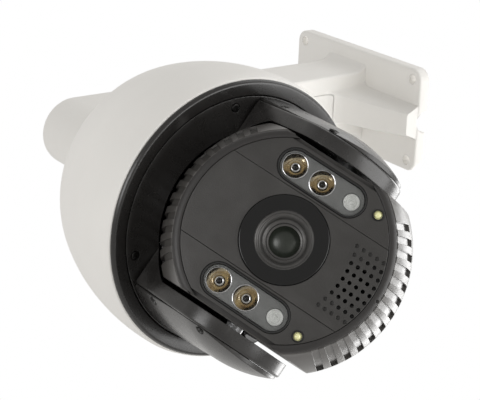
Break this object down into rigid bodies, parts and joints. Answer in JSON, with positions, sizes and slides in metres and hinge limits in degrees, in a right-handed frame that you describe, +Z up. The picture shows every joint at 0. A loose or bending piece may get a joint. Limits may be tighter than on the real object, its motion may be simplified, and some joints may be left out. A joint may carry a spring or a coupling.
{
  "type": "ptz camera",
  "caption": "Dome pan-and-tilt security camera: a finned ball head in a turning yoke under a white domed cap, hung from a wall bracket with a hollow arm.",
  "frame": {"origin": "middle of the wall plate's back face, on the wall's surface", "axes": "+Y into the wall, +Z up, the arm reaches along -Y and the dome hangs at its end"},
  "size_m": [0.2204, 0.4032, 0.4499],
  "materials": {
    "white_paint": "die casting with a matt white powder coat",
    "black_satin": "satin black moulding",
    "graphite_paint": "moulding with a fine-textured dark grey finish",
    "fin_paint": "die casting with dark grey paint",
    "panel_black": "matt black plastic",
    "rubber_seal": "matt black rubber",
    "clear_window": "clear polycarbonate",
    "dark_window": "dark coated glass",
    "lens_glass": "coated optical glass in a black cell",
    "holder_grey": "light grey moulding",
    "gold_reflector": "polished gold-toned reflector",
    "led_white": "clear white lens",
    "led_yellow": "yellow phosphor under a clear lens",
    "lens_metal": "black anodised",
    "aluminium": "machined",
    "steel": "bright steel",
    "belt_rubber": "fabric-backed rubber",
    "motor_steel": "laminated steel and die-cast ends",
    "circuit_green": "solder-masked board",
    "plastic_white": "natural white plastic",
    "screw_black": "black oxide"
  },
  "bodies": {
    "root": {"wall_bracket": "white_paint", "access_cover": "white_paint", "top_neck": "white_paint", "cap_shell": "white_paint", "rim_ring": "black_satin", "chassis_plate": "aluminium", "main_board": "circuit_green", "pan_bearing": "steel", "pan_motor": "motor_steel", "pan_belt": "belt_rubber", "slip_ring_stator": "plastic_white"},
    "pan_motor_pulley": {"pan_motor_pulley": "aluminium"},
    "pan": {"turntable": "black_satin", "turntable_screw_right": "screw_black", "turntable_screw_left": "screw_black", "pan_spindle": "steel", "pan_pulley": "aluminium", "yoke_arm_right": "black_satin", "yoke_arm_left": "black_satin", "arm_cover_right": "black_satin", "arm_cover_left": "black_satin", "arm_screw_right_lower": "screw_black", "arm_screw_right_upper": "screw_black", "arm_screw_left_lower": "screw_black", "arm_screw_left_upper": "screw_black", "tilt_bearing_right": "steel", "tilt_bearing_left": "steel", "tilt_motor": "motor_steel", "tilt_belt": "belt_rubber"},
    "tilt_motor_pulley": {"tilt_motor_pulley": "aluminium"},
    "head": {"head_front_shell": "panel_black", "head_rear_shell": "fin_paint", "face_plate": "graphite_paint", "side_panel_right": "graphite_paint", "side_panel_left": "graphite_paint", "led_gasket_right": "rubber_seal", "led_gasket_left": "rubber_seal", "led_window_right": "clear_window", "led_window_left": "clear_window", "led_holder_right": "holder_grey", "led_holder_left": "holder_grey", "ir_reflector_right_upper": "gold_reflector", "ir_reflector_right_middle": "gold_reflector", "ir_reflector_left_upper": "gold_reflector", "ir_reflector_left_middle": "gold_reflector", "white_led_right": "led_white", "white_led_left": "led_white", "strobe_led_right": "led_yellow", "strobe_led_left": "led_yellow", "lens_window": "dark_window", "lens_barrel": "lens_metal", "lens_front_element": "lens_glass", "sensor_board": "circuit_green", "speaker": "panel_black", "tilt_shaft_right": "steel", "tilt_shaft_left": "steel", "tilt_pulley": "aluminium"},
    "zoom_group": {"zoom_group": "lens_glass"},
    "focus_group": {"focus_group": "lens_glass"},
    "ir_cut_filter": {"ir_cut_filter": "lens_glass"}
  },
  "joints": [
    {"name": "pan", "type": "hinge", "parent": "root", "child": "pan", "pos_m": [0, -0.293, -0.21], "axis": [0, 0, 1], "continuous": true},
    {"name": "pan_motor_turn", "type": "hinge", "parent": "root", "child": "pan_motor_pulley", "pos_m": [-0.056, -0.293, -0.21], "axis": [0, 0, 1], "continuous": true},
    {"name": "tilt", "type": "hinge", "parent": "pan", "child": "head", "pos_m": [0, -0.293, -0.2718], "axis": [0.7627, 0.6468, 0], "range_deg": [-57.2, 47.8]},
    {"name": "tilt_motor_turn", "type": "hinge", "parent": "pan", "child": "tilt_motor_pulley", "pos_m": [0, -0.293, -0.17], "axis": [0.7627, 0.6468, 0], "range_deg": [-190.7, 159.4]},
    {"name": "zoom", "type": "slide", "parent": "head", "child": "zoom_group", "axis": [0.4791, -0.565, -0.6717], "range_m": [-0.008, 0.008]},
    {"name": "focus", "type": "slide", "parent": "head", "child": "focus_group", "axis": [0.4791, -0.565, -0.6717], "range_m": [-0.003, 0.003]},
    {"name": "filter_shift", "type": "slide", "parent": "head", "child": "ir_cut_filter", "axis": [0.7627, 0.6468, 0], "range_m": [-0.011, 0]}
  ],
  "couplings": [
    {"joint": "pan_motor_turn", "follows": "pan", "ratio": 3.75},
    {"joint": "tilt_motor_turn", "follows": "tilt", "ratio": 3.3333}
  ]
}
